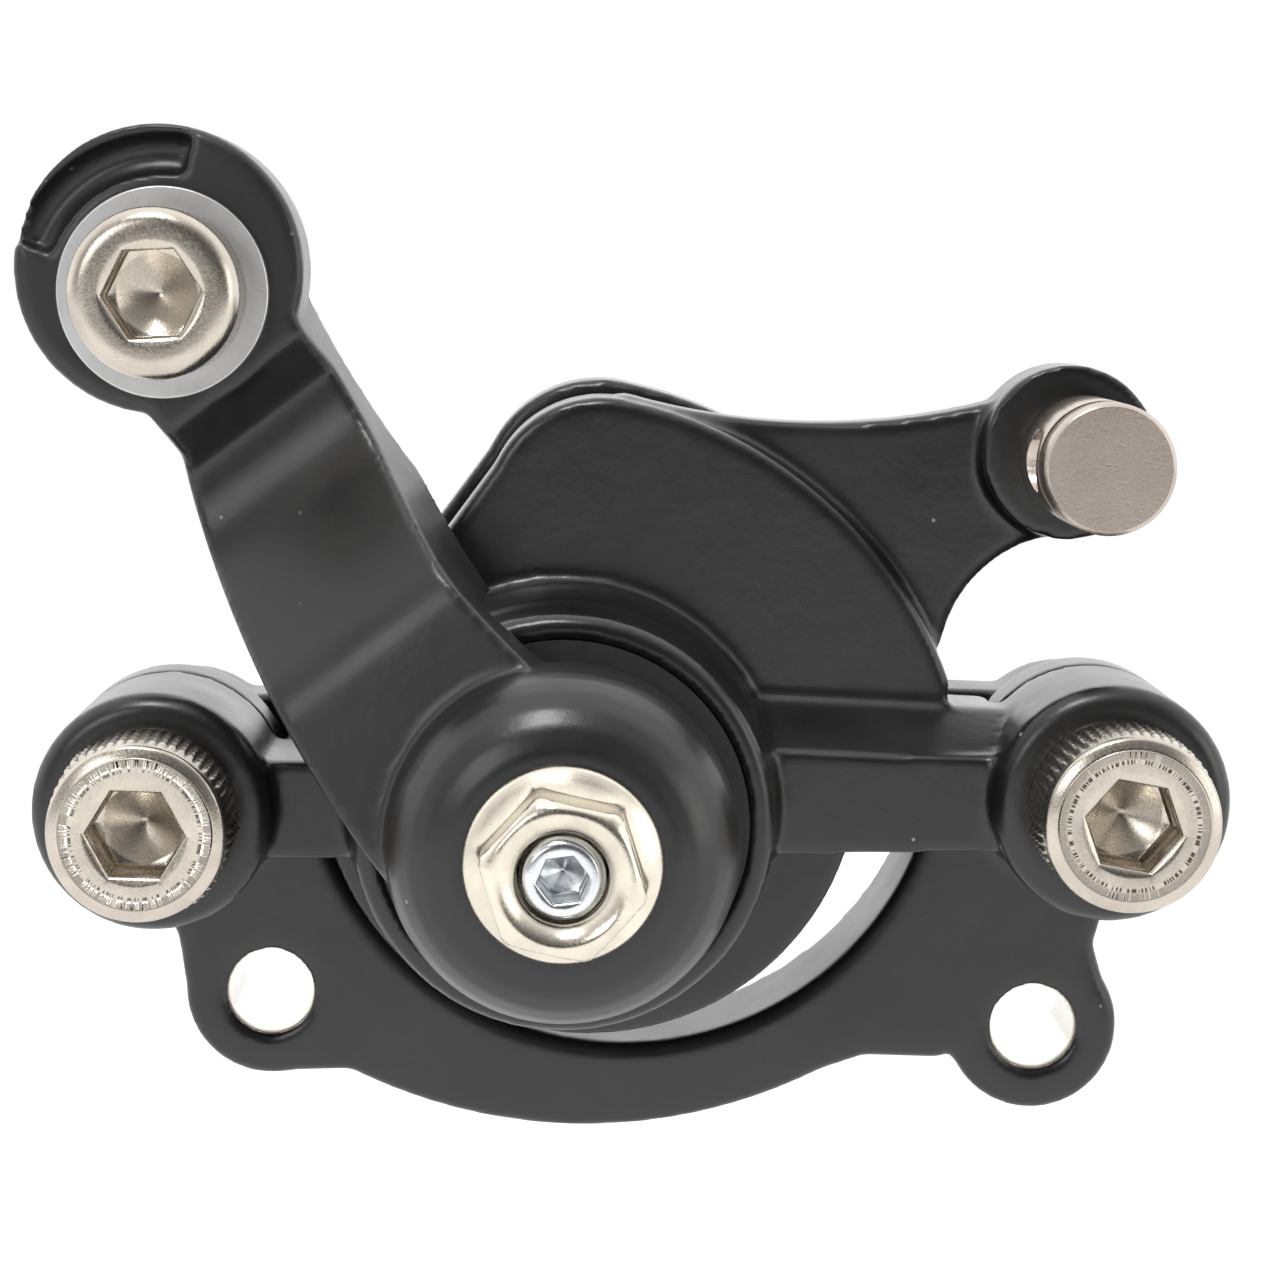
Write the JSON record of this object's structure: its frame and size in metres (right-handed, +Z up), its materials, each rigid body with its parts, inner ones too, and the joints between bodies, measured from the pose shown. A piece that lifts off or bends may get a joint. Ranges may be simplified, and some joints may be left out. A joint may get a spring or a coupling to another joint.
{
  "type": "cable-operated disc brake caliper",
  "caption": "Cable-operated disc brake caliper: two bolted castings around a disc slot, a helical spindle turned by a cranked lever, and a swivelling cable stop.",
  "frame": {"origin": "midway between the two lug holes, on the lugs' mounting face", "axes": "+X along the line of the two lug holes, towards the cable stop; +Y out of the mounting face, away from the lever; +Z up, from the lugs towards the end of the lever"},
  "size_m": [0.0901, 0.055, 0.0759],
  "materials": {
    "black_paint": "satin",
    "nickel": "gloss",
    "steel": "satin",
    "rubber": "matte",
    "lining": "matte"
  },
  "bodies": {
    "housing": {"inner_housing": "black_paint", "outer_housing": "black_paint", "housing_screw_left": "nickel", "housing_screw_right": "nickel", "helix_sleeve": "steel", "return_spring": "steel", "dust_seal": "rubber", "fixed_pad_backing": "steel", "fixed_pad_lining": "lining", "fixed_pad_magnet": "steel"},
    "moving_pad": {"moving_pad_lining": "lining", "moving_pad_backing": "steel", "thrust_button": "steel"},
    "lever": {"lever_arm": "black_paint", "spindle": "steel", "lock_nut": "nickel", "cable_clamp_washer": "nickel", "cable_clamp_bolt": "nickel", "cable_clamp_nut": "nickel"},
    "adjuster": {"adjuster_screw": "steel"},
    "cable_stop": {"cable_stop_pin": "nickel", "cable_stop_ring": "steel", "cable_stop_washer": "steel"}
  },
  "joints": [
    {"name": "pad_advance", "type": "slide", "parent": "housing", "child": "moving_pad", "axis": [0, 1, 0], "range_m": [0, 0.0016]},
    {"name": "lever_turn", "type": "hinge", "parent": "moving_pad", "child": "lever", "pos_m": [-0.008, 0, 0.0178], "axis": [0, 1, 0], "range_deg": [0, 35], "stiffness_Nm_per_rad": 0.12, "springref_deg": -28.65},
    {"name": "adjuster_turn", "type": "hinge", "parent": "lever", "child": "adjuster", "pos_m": [-0.008, 0, 0.0178], "axis": [0, 1, 0], "range_deg": [-180, 180]},
    {"name": "cable_stop_swivel", "type": "hinge", "parent": "housing", "child": "cable_stop", "pos_m": [0.0299, 0, 0.0452], "axis": [0, 1, 0], "range_deg": [-45, 45]}
  ],
  "couplings": [
    {"joint": "pad_advance", "follows": "lever_turn", "m_per_rad": 0.0025465}
  ]
}
